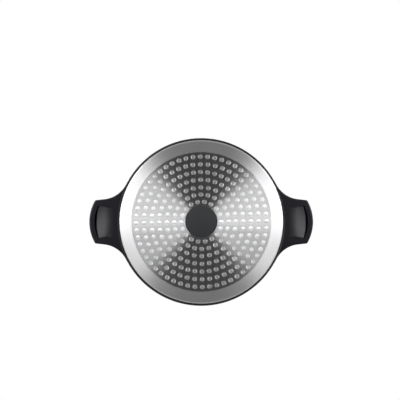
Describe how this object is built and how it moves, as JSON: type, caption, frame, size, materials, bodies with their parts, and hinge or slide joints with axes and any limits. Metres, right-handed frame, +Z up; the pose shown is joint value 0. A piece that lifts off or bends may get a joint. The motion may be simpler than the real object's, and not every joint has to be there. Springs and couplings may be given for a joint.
{
  "type": "cooking pot",
  "caption": "Round coated aluminium cooking pot with a poured lip, a perforated steel induction plate in its turned base and screwed-on side handles with finger pockets.",
  "frame": {"origin": "centre of the base, on the plane that the pot stands on", "axes": "+Z up out of the mouth, +X out through one side handle, +Y across the handles"},
  "size_m": [0.3286, 0.25, 0.115],
  "materials": {
    "coated_aluminium": "satin black coating over cast aluminium, left off the turned base",
    "turned_steel": "fine concentric turning marks",
    "bare_aluminium": "turned bare",
    "black_phenolic": "moulded, fine matt grain",
    "zinc_plated_steel": "bright zinc plate",
    "spring_steel": "dark tempered"
  },
  "bodies": {
    "root": {"pot_body": "coated_aluminium", "induction_plate": "turned_steel", "right_handle": "black_phenolic", "right_handle_stud": "bare_aluminium", "right_handle_screw": "zinc_plated_steel", "right_handle_washer": "spring_steel", "left_handle": "black_phenolic", "left_handle_stud": "bare_aluminium", "left_handle_screw": "zinc_plated_steel", "left_handle_washer": "spring_steel"}
  },
  "joints": []
}
